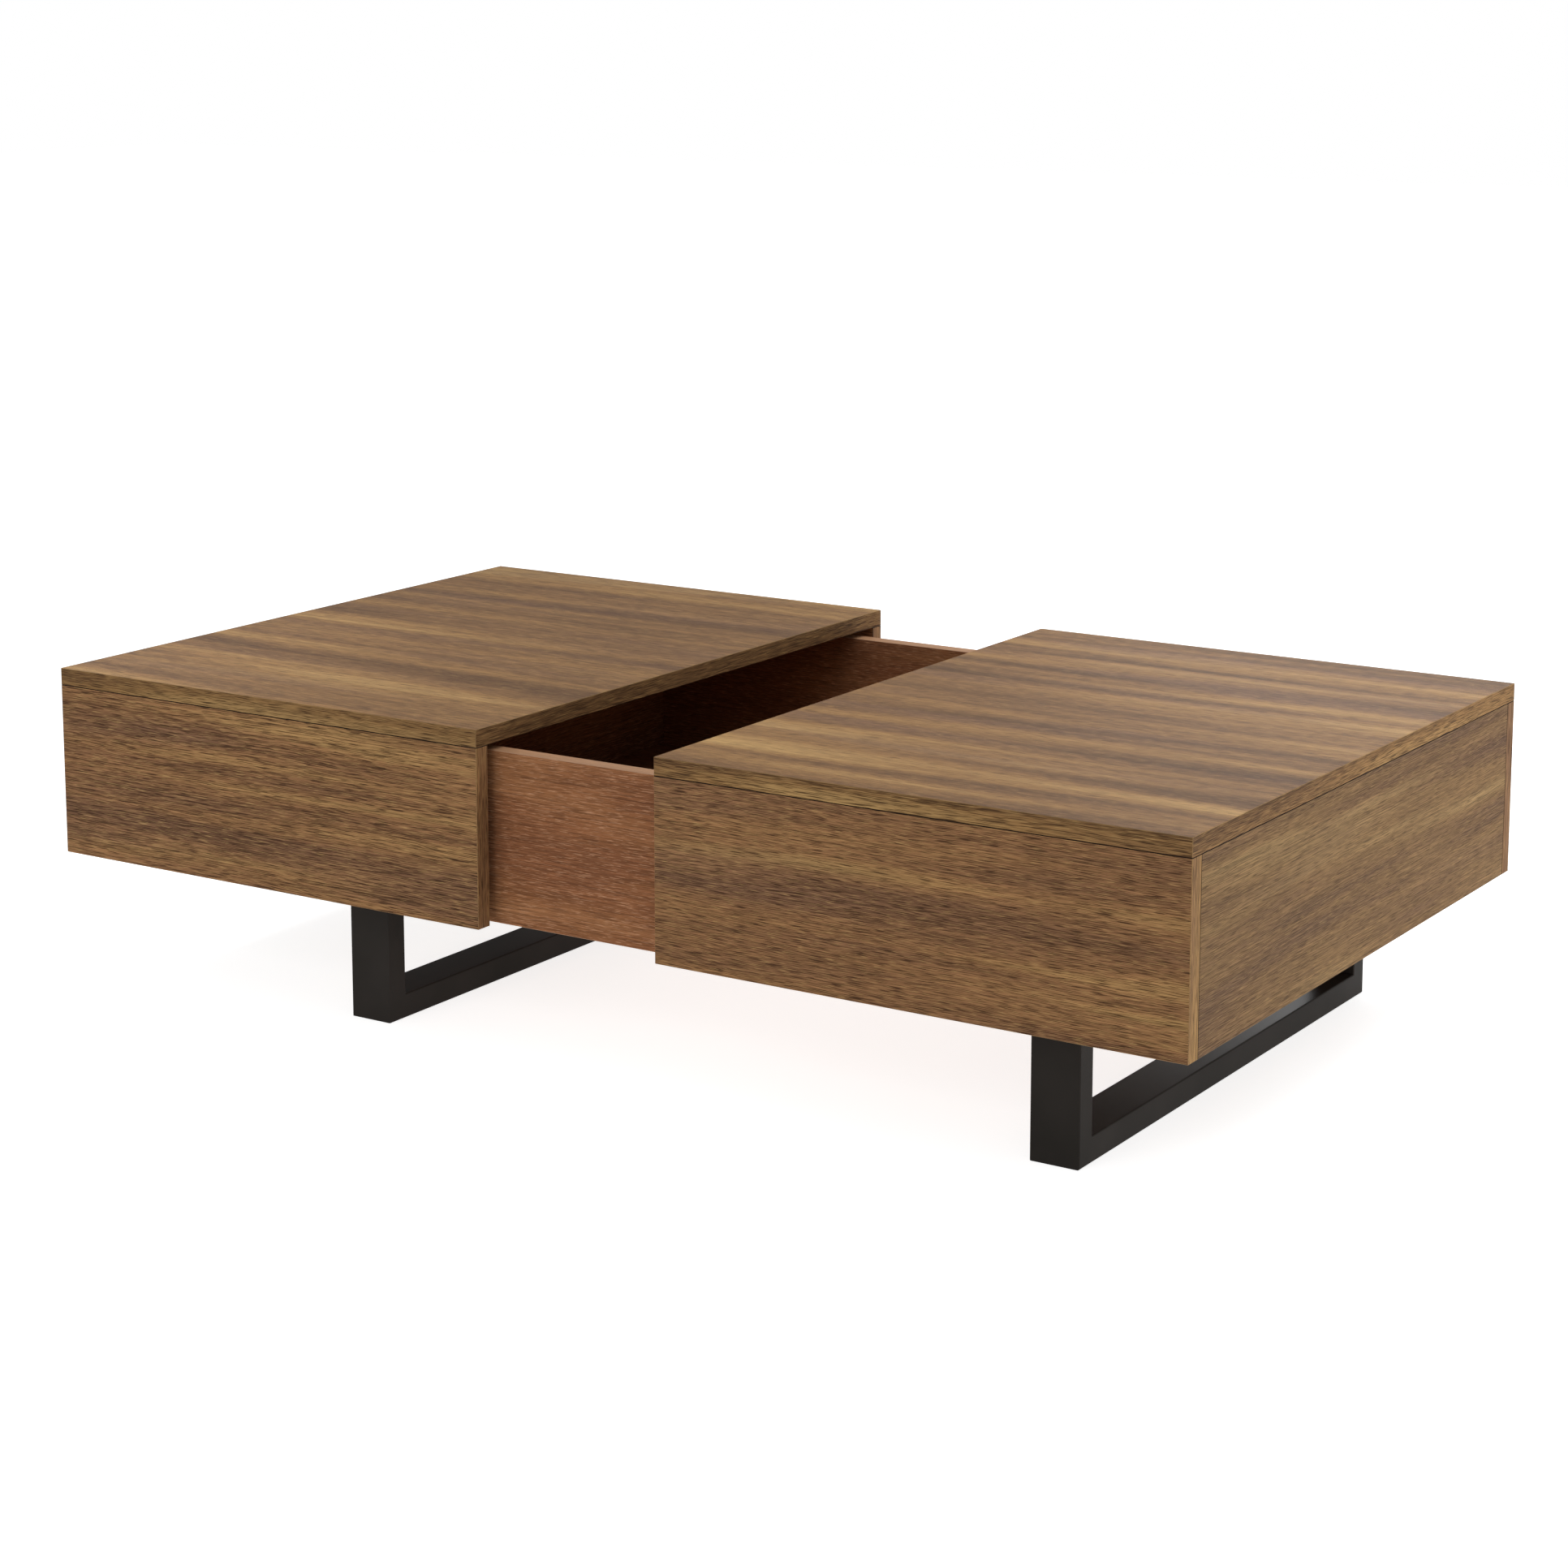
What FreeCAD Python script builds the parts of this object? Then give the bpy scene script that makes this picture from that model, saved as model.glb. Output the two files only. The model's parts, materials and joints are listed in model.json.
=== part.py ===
"""Coffee table whose top is two box-shaped shells that slide apart over a fixed storage box.

Millimetres, +Z up, +X along the table.  Everything is laid out about the middle of the storage box,
then moved so that the origin lies on the floor under the middle of the table as it stands, with
the left shell drawn out by left_opening.
"""
import FreeCAD, Part

import math
import os

Vector = FreeCAD.Vector

# Table
table_length = 1100.0      # both shells pushed together
table_width = 750.0
table_height = 335.0
floor_clearance = 137.0    # floor to the underside of the box and the skirts
meeting_gap = 1.0          # left between the two shells when they are shut
left_opening = 207.0       # how far each shell is drawn out as modelled
right_opening = 0.0
end_clearance = 36.0       # inside of a shut shell's end panel to the end of the box
rim_clearance = 8.0        # box rim to the underside of the shells

# Boards
top_thickness = 18.0
skirt_thickness = 18.0
end_thickness = 18.0
wall_thickness = 18.0      # storage box
bottom_thickness = 18.0
edge_ease = 0.5            # bevel on every board edge

# Sled legs of rectangular steel tube
leg_tube_width = 50.0
leg_tube_depth = 25.0
leg_tube_wall = 2.0
leg_corner_radius = 1.5
leg_plate_thickness = 5.0
leg_end_setback = 78.0     # end of the box to the leg
leg_side_setback = 26.8    # side of the box to the leg

# Three-member ball slides, one at the front and one at the rear of each shell
slide_length = 250.0
slide_travel = 250.0
slide_height = 45.7
slide_sheet = 1.2
ball_diameter = 3.0
ball_clearance = 0.1
running_gap = 0.45         # between the layers that pass each other
lip_gap = 1.32             # middle member's lip to the skirt
raceway_slope = 55.0       # degrees, where the middle member crosses between its two raceways
lip_angle = 45.0           # degrees, from the level of the balls to the end of a raceway
flank_slope = 30.0         # degrees, the straight stretch between an end raceway and its web
cage_sheet = 0.5
cage_end_margin = 7.5
outer_cage_rise = 0.45     # outer retainer's lip above the middle of its balls
inner_cage_drop = 1.2      # inner retainer's fold below the middle of its balls
inner_cage_gap = 0.3       # inner retainer's bend to the line of the raceway
balls_per_row = 3
ball_pitch = 40.0
middle_share = 0.5         # of the shell's travel: the middle member rolls between the other two

# Fasteners; diameters are across the flats of the prisms that stand in for them
fit_clearance = 0.1
slide_screw = {"head": 7.0, "head_height": 1.6, "shank": 4.0, "length": 16.0}
slide_screw_inset = 35.0
leg_screw = {"head": 10.0, "head_height": 3.0, "shank": 5.0, "length": 20.0}
leg_screw_row = 15.0       # rows either side of the leg's middle
leg_screw_end = 67.5       # leg's end to its screws
box_screw = {"head": 10.0, "head_height": 3.0, "shank": 5.0, "length": 45.0}
box_screw_inset = 30.0     # rim and underside of the box to its corner screws
bottom_screw_inset = 150.0  # end of the box to the screws in its bottom board
cam_diameter = 15.0
cam_depth = 13.0
cam_distance = 34.0        # joint to the middle of the cam
cam_bolt_diameter = 7.0
cam_bolt_bite = 11.0       # thread in the other board
dowel_diameter = 8.0
dowel_length = 30.0
dowel_depth = 10.0         # in the board whose face it enters
joint_inset = 70.0         # end of a joint to its cams
dowel_offset = 32.0        # cam to the dowel beside it
end_dowel_inset = 40.0     # ends of an end panel's upright joints to their dowels

# Sizes that follow
half_length = table_length / 2
half_width = table_width / 2
shell_underside = table_height - top_thickness
box_half_length = half_length - end_thickness - end_clearance
box_rim = shell_underside - rim_clearance
base_x = (left_opening - right_opening) / 2

# Slide section, measured outwards from the box wall and upwards from the slide's middle
ball_radius = ball_diameter / 2
raceway = ball_radius + ball_clearance
raceway_back = raceway + slide_sheet
raceway_middle = raceway + slide_sheet / 2
outer_cage_depth = slide_sheet + slide_screw["head_height"] + running_gap
middle_web_depth = outer_cage_depth + cage_sheet + running_gap
inner_cage_depth = middle_web_depth + slide_sheet + running_gap
outer_row_depth = middle_web_depth + raceway
outer_row_height = slide_height / 2 - raceway_back
inner_row_depth = outer_row_depth + 2 * raceway_middle * math.sin(math.radians(raceway_slope))
inner_row_height = outer_row_height - 2 * raceway_middle * math.cos(math.radians(raceway_slope))
slide_depth = inner_row_depth + raceway_back * math.cos(math.radians(lip_angle)) + lip_gap
cage_length = slide_length - slide_travel / 2 - 2 * cage_end_margin

box_half_width = half_width - skirt_thickness - slide_depth
slide_middle_x = box_half_length - slide_length / 2
slide_middle_z = (floor_clearance + box_rim) / 2
leg_middle_x = box_half_length - leg_end_setback - leg_tube_width / 2
leg_half_width = box_half_width - leg_side_setback
leg_top = floor_clearance - leg_plate_thickness

# Flat sides of what is small and round
SCREW_SIDES = 6
CAM_SIDES = 8


# Shapes that several pieces share

def board(x, y, z):
    """Board with eased edges between two corners."""
    blank = Part.makeBox(x[1] - x[0], y[1] - y[0], z[1] - z[0], Vector(x[0], y[0], z[0]))
    return blank.makeChamfer(edge_ease, blank.Edges)


def ring(diameter, centre, direction, sides=SCREW_SIDES):
    """Regular polygon facing direction, with its diameter across the flats."""
    corner_radius = diameter / 2 / math.cos(math.pi / sides)
    angles = [(2 * i + 1) * math.pi / sides for i in range(sides)]
    corners = [Vector(corner_radius * math.cos(a), corner_radius * math.sin(a), 0) for a in angles]
    polygon = Part.makePolygon(corners + corners[:1])
    polygon.Placement = FreeCAD.Placement(centre, FreeCAD.Rotation(Vector(0, 0, 1), direction))
    return polygon


def prism(diameter, length, start, direction, sides=SCREW_SIDES):
    """Regular prism that stands in for a small round bar or its hole."""
    return Part.Face(ring(diameter, start, direction, sides)).extrude(direction * length)


def screw(size, seat, direction, extra=0.0):
    """Screw whose head sits on seat and whose shank runs along direction; extra makes its hole."""
    head = prism(size["head"] + 2 * extra, size["head_height"] + extra, seat, direction * -1)
    shank = prism(size["shank"] + 2 * extra, size["length"] + extra, seat, direction)
    return head.fuse(shank).removeSplitter()


def mirrored(shape, axis):
    return shape.mirror(Vector(0, 0, 0), axis)


def to_side(shape, x_side, y_side):
    """Copy of a shape made at the right rear, mirrored to the side asked for."""
    if x_side < 0:
        shape = mirrored(shape, Vector(1, 0, 0))
    if y_side < 0:
        shape = mirrored(shape, Vector(0, 1, 0))
    return shape


# Storage box

def box_boards():
    outer_x = (-box_half_length, box_half_length)
    inner_x = (wall_thickness - box_half_length, box_half_length - wall_thickness)
    inner_y = (wall_thickness - box_half_width, box_half_width - wall_thickness)
    height = (floor_clearance, box_rim)
    return {
        "box_front_wall": board(outer_x, (-box_half_width, inner_y[0]), height),
        "box_rear_wall": board(outer_x, (inner_y[1], box_half_width), height),
        "box_left_end": board((outer_x[0], inner_x[0]), inner_y, height),
        "box_right_end": board((inner_x[1], outer_x[1]), inner_y, height),
        "box_bottom": board(inner_x, inner_y, (floor_clearance, floor_clearance + bottom_thickness)),
    }


def box_screw_seats():
    """Seats and directions of the screws sunk in the long walls, all hidden behind the skirts."""
    end_x = box_half_length - wall_thickness / 2
    bottom_x = box_half_length - bottom_screw_inset
    seat_y = box_half_width - box_screw["head_height"]
    places = [
        (end_x, floor_clearance + box_screw_inset),
        (end_x, box_rim - box_screw_inset),
        (bottom_x, floor_clearance + bottom_thickness / 2),
    ]
    for x, z in places:
        for x_side in (-1, 1):
            for y_side in (-1, 1):
                yield Vector(x_side * x, y_side * seat_y, z), Vector(0, -y_side, 0)


# Sled legs, made at the right

def tube_run(outline, hollow, edge_direction):
    """Length of rectangular tube across the leg's width, from its outline and its bore in YZ."""
    def block(points, width):
        corners = [Vector(leg_middle_x - width / 2, y, z) for y, z in points]
        face = Part.Face(Part.makePolygon(corners + corners[:1]))
        return face.extrude(Vector(width, 0, 0))

    outside = block(outline, leg_tube_width)
    long_edges = [
        edge for edge in outside.Edges
        if abs(edge.tangentAt(edge.FirstParameter).dot(edge_direction)) > 0.99
    ]
    outside = outside.makeFillet(leg_corner_radius, long_edges)
    return outside.cut(block(hollow, leg_tube_width - 2 * leg_tube_wall))


def leg_parts():
    """Rear post, floor bar with mitred ends, and the plate that closes the posts."""
    end = leg_half_width
    inside = end - leg_tube_depth
    wall = leg_tube_wall
    post = tube_run(
        [(end, 0), (end, leg_top), (inside, leg_top), (inside, leg_tube_depth)],
        [(end - wall, wall), (end - wall, leg_top), (inside + wall, leg_top),
         (inside + wall, leg_tube_depth - wall)],
        Vector(0, 0, 1))
    bar = tube_run(
        [(-end, 0), (end, 0), (inside, leg_tube_depth), (-inside, leg_tube_depth)],
        [(wall - end, wall), (end - wall, wall), (inside + wall, leg_tube_depth - wall),
         (-inside - wall, leg_tube_depth - wall)],
        Vector(0, 1, 0))
    plate = Part.makeBox(leg_tube_width, 2 * end, leg_plate_thickness,
                         Vector(leg_middle_x - leg_tube_width / 2, -end, leg_top))
    return post, bar, plate


def leg_screw_seats():
    """Underside of the leg plate at each screw."""
    outer_y = leg_half_width - leg_screw_end
    for x_side in (-1, 1):
        for row in (-1, 1):
            for y in (-outer_y, outer_y):
                yield Vector(x_side * leg_middle_x + row * leg_screw_row, y, leg_top)


# Ball slides, made at the right rear with the shell shut

def polar(centre, radius, degrees):
    angle = math.radians(degrees)
    return centre[0] + radius * math.cos(angle), centre[1] + radius * math.sin(angle)


def arc(centre, radius, first, last):
    """Three points of an arc, for bent_sheet."""
    return [polar(centre, radius, a) for a in (first, (first + last) / 2, last)]


def bent_sheet(upper_half, thickness, length, middle_x=slide_middle_x):
    """Sheet metal channel along the table.

    upper_half runs from the lip to the web over the outside of the bends, as lines of two points
    and arcs of three, each a depth from the box wall and a height.  The lower half mirrors it.
    """
    def edge(points, sign):
        row = [Vector(0, box_half_width + depth, slide_middle_z + sign * height)
               for depth, height in points]
        return Part.makeLine(*row) if len(row) == 2 else Part.Arc(*row).toShape()

    corner_depth, corner_height = upper_half[-1][-1]
    web = edge([(corner_depth, corner_height), (corner_depth, -corner_height)], 1)
    lower_half = [edge(points[::-1], -1) for points in reversed(upper_half)]
    path = Part.Wire([edge(points, 1) for points in upper_half] + [web] + lower_half)
    section = path.makeOffset2D(thickness, join=2, fill=True, openResult=True, intersection=True)
    channel = section.extrude(Vector(length, 0, 0))
    channel.translate(Vector(middle_x - length / 2, 0, 0))
    return channel


outer_row = (outer_row_depth, outer_row_height)
inner_row = (inner_row_depth, inner_row_height)
flank = math.tan(math.radians(flank_slope))


def outer_member():
    """Fixed to the box; its flanges arch over the outer rows of balls."""
    over_ball = arc(outer_row, raceway_back, lip_angle, 90 + flank_slope)
    depth, height = over_ball[-1]
    return bent_sheet([over_ball, [over_ball[-1], (0, height - depth * flank)]],
                      -slide_sheet, slide_length)


def middle_member():
    """Floats between the other two; each flange winds under one row of balls and over the next."""
    over_inner = arc(inner_row, raceway_back, lip_angle, 90 + raceway_slope)
    under_outer = arc(outer_row, raceway, raceway_slope - 90, -90)
    corner = (middle_web_depth, under_outer[-1][1])
    return bent_sheet([over_inner, under_outer, [under_outer[-1], corner]],
                      -slide_sheet, slide_length)


def inner_member():
    """Fixed to the skirt; its flanges carry the inner rows of balls from below."""
    under_ball = arc(inner_row, raceway, lip_angle - 180, flank_slope - 90)
    depth, height = under_ball[-1]
    corner = (slide_depth, height + (slide_depth - depth) * flank)
    return bent_sheet([under_ball, [under_ball[-1], corner]], slide_sheet, slide_length)


def ball_centres(row):
    depth, height = row
    for i in range(balls_per_row):
        x = slide_middle_x + (i - (balls_per_row - 1) / 2) * ball_pitch
        for sign in (-1, 1):
            yield Vector(x, box_half_width + depth, slide_middle_z + sign * height)


def ball(centre):
    """Steel ball, drawn as an icosahedron with its corners on the true sphere."""
    ring_height = ball_radius / math.sqrt(5)
    up = Vector(0, 0, 1)

    def corners(first_degrees, height):
        angles = [math.radians(first_degrees + 72 * i) for i in range(5)]
        return [centre + Vector(math.cos(a), math.sin(a), 0) * (2 * ring_height) + up * height
                for a in angles]

    top, bottom = centre + up * ball_radius, centre - up * ball_radius
    upper, lower = corners(0, ring_height), corners(36, -ring_height)
    triangles = []
    for i in range(5):
        triangles.append([top, upper[i - 1], upper[i]])
        triangles.append([upper[i - 1], lower[i - 1], upper[i]])
        triangles.append([upper[i], lower[i - 1], lower[i]])
        triangles.append([lower[i], lower[i - 1], bottom])
    faces = [Part.Face(Part.makePolygon(points + points[:1])) for points in triangles]
    return Part.makeSolid(Part.makeShell(faces))


def cage(path, row):
    """Retainer that spaces the balls, with a window round each."""
    strip = bent_sheet(path, -cage_sheet, cage_length)
    size = ball_diameter + ball_clearance
    windows = [
        Part.makeBox(size, size, 2 * size, centre - Vector(size / 2, size / 2, size))
        for centre in ball_centres(row)
    ]
    return strip.cut(windows)


def outer_cage():
    top = outer_row_height + outer_cage_rise
    bend = outer_row_depth - ball_radius + ball_clearance
    return cage([
        [(outer_row_depth + raceway + cage_sheet, top), (bend, top)],
        [(bend, top), (outer_cage_depth, top - ball_radius)],
    ], outer_row)


def inner_cage():
    top = inner_row_height
    bend = inner_row_depth - raceway - inner_cage_gap
    return cage([
        [(inner_row_depth + raceway + ball_clearance, top), (bend, top)],
        [(bend, top), (inner_cage_depth, top - inner_cage_drop)],
    ], inner_row)


def slide_screw_seats(member_depth):
    """Both screws of one member, on the face its heads rest on."""
    for side in (-1, 1):
        x = slide_middle_x + side * (slide_length / 2 - slide_screw_inset)
        yield Vector(x, box_half_width + member_depth, slide_middle_z)


# Top shells, made at the right, shut

def shell_boards():
    x = (meeting_gap / 2, half_length)
    inside_y = half_width - skirt_thickness
    height = (floor_clearance, shell_underside)
    return {
        "top_board": board(x, (-half_width, half_width), (shell_underside, table_height)),
        "front_skirt": board(x, (-half_width, -inside_y), height),
        "rear_skirt": board(x, (inside_y, half_width), height),
        "end_panel": board((half_length - end_thickness, half_length), (-inside_y, inside_y), height),
    }


def shell_joints():
    """Joints between boards: edge board, face board, middle of the joint, way into the face
    board, way along the joint, half its length, and the step from the middle of the edge board
    to the face its cams are let into, or None where the joint has only dowels."""
    inside_y = half_width - skirt_thickness
    skirt_y = half_width - skirt_thickness / 2
    half_skirt = (half_length - meeting_gap / 2) / 2
    end_x = half_length - end_thickness / 2
    half_height = (shell_underside - floor_clearance) / 2
    along, across, up = Vector(1, 0, 0), Vector(0, 1, 0), Vector(0, 0, 1)
    yield ("end_panel", "top_board", Vector(end_x, 0, shell_underside), up,
           across, inside_y, along * (-end_thickness / 2))
    for sign, skirt in ((-1, "front_skirt"), (1, "rear_skirt")):
        yield (skirt, "top_board", Vector(half_length - half_skirt, sign * skirt_y, shell_underside),
               up, along, half_skirt, across * (-sign * skirt_thickness / 2))
        yield ("end_panel", skirt, Vector(end_x, sign * inside_y, floor_clearance + half_height),
               across * sign, up, half_height, None)


def cam_fitting(joint, into, to_face, extra=0.0):
    """Cam let into one board and the bolt that it pulls, or the holes for both."""
    middle = joint - into * cam_distance
    drill = to_face * (-1 / to_face.Length)
    cam = prism(cam_diameter + 2 * extra, cam_depth + extra, middle + to_face, drill, CAM_SIDES)
    bolt_length = cam_distance + cam_bolt_bite + extra
    return cam, prism(cam_bolt_diameter + 2 * extra, bolt_length, middle, into)


def dowel(joint, into, extra=0.0):
    """Dowel across a joint, or the hole for it."""
    start = joint + into * (dowel_depth + extra)
    return prism(dowel_diameter + 2 * extra, dowel_length + 2 * extra, start, into * -1)


def shell_parts():
    """Boards of one shell with its cams, bolts and dowels."""
    parts = shell_boards()
    cams, bolts, dowels = [], [], []
    for edge_board, face_board, joint, into, along, half, to_face in shell_joints():
        holes = []
        dowel_place = half - end_dowel_inset
        if to_face is not None:
            cam_place = half - joint_inset
            dowel_place = cam_place - dowel_offset
            for side in (-1, 1):
                place = joint + along * (side * cam_place)
                cam, bolt = cam_fitting(place, into, to_face)
                cam_hole, bolt_hole = cam_fitting(place, into, to_face, fit_clearance)
                cams.append(cam.cut(bolt_hole))
                bolts.append(bolt)
                holes += [cam_hole, bolt_hole]
        for side in (-1, 1):
            place = joint + along * (side * dowel_place)
            dowels.append(dowel(place, into))
            holes.append(dowel(place, into, fit_clearance))
        for name in (edge_board, face_board):
            parts[name] = parts[name].cut(holes)
    parts["cam_locks"] = Part.makeCompound(cams)
    parts["cam_bolts"] = Part.makeCompound(bolts)
    parts["dowels"] = Part.makeCompound(dowels)
    return parts


# The whole table

def save(node, shape):
    """Write one node, moved from the middle of the box to the table's own frame."""
    shape = shape.copy()
    shape.translate(Vector(base_x, 0, 0))
    shape.exportStep(os.path.join("parts", node + ".step"))
    if not shape.isValid():
        print("invalid shape:", node)


def build_base():
    parts = box_boards()
    for seat, direction in box_screw_seats():
        hole = screw(box_screw, seat, direction, fit_clearance)
        for node in parts:
            if parts[node].BoundBox.intersect(hole.BoundBox):
                parts[node] = parts[node].cut(hole)
    parts["box_screws"] = Part.makeCompound(
        [screw(box_screw, seat, direction) for seat, direction in box_screw_seats()])

    up = Vector(0, 0, 1)
    leg_holes = [screw(leg_screw, seat, up, fit_clearance) for seat in leg_screw_seats()]
    parts["box_bottom"] = parts["box_bottom"].cut(leg_holes)
    parts["leg_screws"] = Part.makeCompound(
        [screw(leg_screw, seat, up) for seat in leg_screw_seats()])
    post, bar, plate = leg_parts()
    for side, name in ((-1, "left"), (1, "right")):
        parts[name + "_leg_rear_post"] = to_side(post, side, 1)
        parts[name + "_leg_front_post"] = to_side(post, side, -1)
        parts[name + "_leg_floor_bar"] = to_side(bar, side, 1)
        parts[name + "_leg_plate"] = to_side(plate, side, 1).cut(leg_holes)

    into_box = Vector(0, -1, 0)
    seats = list(slide_screw_seats(slide_sheet))
    screws = [screw(slide_screw, seat, into_box) for seat in seats]
    holes = [screw(slide_screw, seat, into_box, fit_clearance) for seat in seats]
    member = outer_member().cut(holes)
    all_screws = []
    for y_side, wall, place in ((-1, "box_front_wall", "front"), (1, "box_rear_wall", "rear")):
        for x_side, name in ((-1, "left"), (1, "right")):
            parts[f"{name}_{place}_slide_outer"] = to_side(member, x_side, y_side)
            parts[wall] = parts[wall].cut([to_side(hole, x_side, y_side) for hole in holes])
            all_screws += [to_side(one, x_side, y_side) for one in screws]
    parts["slide_outer_screws"] = Part.makeCompound(all_screws)
    return parts


def build_shell(x_side, name, opening):
    """One shell with the slide members that hang it, drawn out by opening."""
    parts = shell_parts()
    into_skirt = Vector(0, 1, 0)
    seats = list(slide_screw_seats(slide_depth - slide_sheet))
    holes = [screw(slide_screw, seat, into_skirt, fit_clearance) for seat in seats]
    member = inner_member().cut(holes)
    screws = []
    for y_side, place in ((-1, "front"), (1, "rear")):
        parts[place + "_slide_inner"] = to_side(member, 1, y_side)
        parts[place + "_skirt"] = parts[place + "_skirt"].cut([to_side(h, 1, y_side) for h in holes])
        screws += [to_side(screw(slide_screw, seat, into_skirt), 1, y_side) for seat in seats]
    parts["slide_inner_screws"] = Part.makeCompound(screws)

    shift = {node: opening for node in parts}
    outer_share = middle_share / 2           # the balls go half as far as the members they part
    inner_share = (middle_share + 1) / 2
    outer_balls = Part.makeCompound([ball(centre) for centre in ball_centres(outer_row)])
    inner_balls = Part.makeCompound([ball(centre) for centre in ball_centres(inner_row)])
    for place, y_side in (("front", -1), ("rear", 1)):
        floating = {
            "slide_middle": (middle_member(), middle_share),
            "slide_outer_cage": (outer_cage(), outer_share),
            "slide_outer_balls": (outer_balls, outer_share),
            "slide_inner_cage": (inner_cage(), inner_share),
            "slide_inner_balls": (inner_balls, inner_share),
        }
        for node, (shape, share) in floating.items():
            parts[f"{place}_{node}"] = to_side(shape, 1, y_side)
            shift[f"{place}_{node}"] = share * opening

    placed = {}
    for node, shape in parts.items():
        shape = to_side(shape, x_side, 1)
        shape.translate(Vector(x_side * shift[node], 0, 0))
        placed[f"{name}_{node}"] = shape
    return placed


os.makedirs("parts", exist_ok=True)
everything = build_base()
everything.update(build_shell(-1, "left", left_opening))
everything.update(build_shell(1, "right", right_opening))
for node, shape in everything.items():
    save(node, shape)
print(len(everything), "nodes; slide depth", round(slide_depth, 2),
      "; box outside", 2 * box_half_length, "x", round(2 * box_half_width, 1))
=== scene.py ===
import json
import math

import bmesh
import bpy
from mathutils import Euler, Matrix, Vector


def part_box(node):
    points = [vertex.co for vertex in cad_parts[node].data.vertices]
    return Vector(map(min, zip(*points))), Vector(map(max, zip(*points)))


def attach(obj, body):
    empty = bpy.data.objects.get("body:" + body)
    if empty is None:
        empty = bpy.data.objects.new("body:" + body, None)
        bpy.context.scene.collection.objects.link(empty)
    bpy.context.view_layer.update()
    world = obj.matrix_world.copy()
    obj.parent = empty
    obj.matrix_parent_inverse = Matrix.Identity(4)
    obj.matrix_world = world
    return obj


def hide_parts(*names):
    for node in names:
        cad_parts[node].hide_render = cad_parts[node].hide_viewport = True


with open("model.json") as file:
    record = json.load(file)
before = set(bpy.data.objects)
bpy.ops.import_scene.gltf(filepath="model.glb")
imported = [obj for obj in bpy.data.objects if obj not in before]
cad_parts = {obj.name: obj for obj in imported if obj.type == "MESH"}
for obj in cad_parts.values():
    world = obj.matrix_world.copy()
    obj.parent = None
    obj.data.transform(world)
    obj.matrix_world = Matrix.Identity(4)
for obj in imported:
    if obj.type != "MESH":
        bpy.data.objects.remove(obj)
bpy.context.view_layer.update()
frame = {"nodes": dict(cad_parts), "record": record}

millimetre = 0.001
joinDistance = 0.001 * millimetre      # points closer than this are one
white = (1, 1, 1, 1)
bodyOf = {node: body for body, nodes in frame["record"]["behaviour"]["bodies"].items() for node in nodes}


def linearColour(hexColour):
    channels = [int(hexColour[i:i + 2], 16) / 255 for i in (1, 3, 5)]
    return tuple(c / 12.92 if c <= 0.04045 else ((c + 0.055) / 1.055) ** 2.4 for c in channels) + (1,)


def addNode(tree, kind, settings=None, links=None):
    # a setting is a property of the node, or the value of the socket with that name or number
    node = tree.nodes.new(kind)
    for name, value in (settings or {}).items():
        if name == "stops":
            elements = node.color_ramp.elements
            while len(elements) < len(value):
                elements.new(1)
            for element, (place, colour) in zip(elements, value):
                element.position = place
                element.color = colour if isinstance(colour, tuple) else (colour, colour, colour, 1)
        elif isinstance(name, str) and hasattr(node, name):
            setattr(node, name, value)
        else:
            node.inputs[name].default_value = value
    for name, socket in (links or {}).items():
        tree.links.new(socket, node.inputs[name])
    return node


def newMaterial(name, settings):
    material = bpy.data.materials.new(name)
    material.use_nodes = True
    tree = material.node_tree
    tree.nodes.clear()
    shader = addNode(tree, "ShaderNodeBsdfPrincipled", settings)
    addNode(tree, "ShaderNodeOutputMaterial", {}, {"Surface": shader.outputs[0]})
    return material, tree, shader


# Camera: its place in metres, its turn to the left of +Y and its tilt down in degrees
camera = {
    "place": (1.8122, -2.8002, 1.0230),
    "turn": 32.83,
    "tilt": 9.45,
    "lens": 75.5, "sensor": 36,      # mm
    "shift": -0.15,
    "reach": 50,                     # how far it sees, in metres
}


def makeCamera():
    data = bpy.data.cameras.new("camera")
    data.lens = camera["lens"]
    data.sensor_width = camera["sensor"]
    data.shift_y = camera["shift"]
    data.clip_end = camera["reach"]
    holder = bpy.data.objects.new("camera", data)
    holder.location = camera["place"]
    holder.rotation_euler = Euler((math.radians(90 - camera["tilt"]), 0, math.radians(camera["turn"])))
    bpy.context.scene.collection.objects.link(holder)
    bpy.context.scene.camera = holder


# Studio: soft boxes given by their place, the point they look at, size in metres and watts;
# a spread in degrees makes a pool of light
studio = {
    "softBoxes": {
        "overhead": {"place": (0.9, 0.8, 2.0), "aim": (0.35, 0.15, 0.3), "size": (1.5, 1.5), "watts": 26},
        "corner": {"place": (-1.2, -0.45, 1.6), "aim": (-0.8, -0.42, 0.33), "size": (0.5, 0.5),
                   "watts": 1.4, "spread": 60},
        "right": {"place": (2.6, 0.6, 0.18), "aim": (0.6, 0.1, 0.18), "size": (1.6, 0.32), "watts": 16},
        "front": {"place": (-0.1, -3.4, 1.7), "aim": (0, 0, 0.2), "size": (2.2, 1.6), "watts": 25},
        "back": {"place": (-0.4, 3.2, 0.95), "aim": (0.4, 0, 0.3), "size": (1.7, 0.9), "watts": 22},
        "left": {"place": (-3.3, 1.9, 1.1), "aim": (-0.4, 0, 0.3), "size": (1.2, 0.8), "watts": 7},
    },
    "roomLight": 0.34,       # of the world, for everything that isn't seen directly
    "backdropLight": 1.0,    # of the world where it is seen: plain white
    "floorSize": 30,
    "floorLight": 0.35,      # what the floor sends back up under the table
    "floorGlow": 0.78,       # share of plain white where it is seen, which keeps the shadow faint
    "floorColour": "#e9eff2",
    "floorRoughness": 0.9,
}


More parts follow.
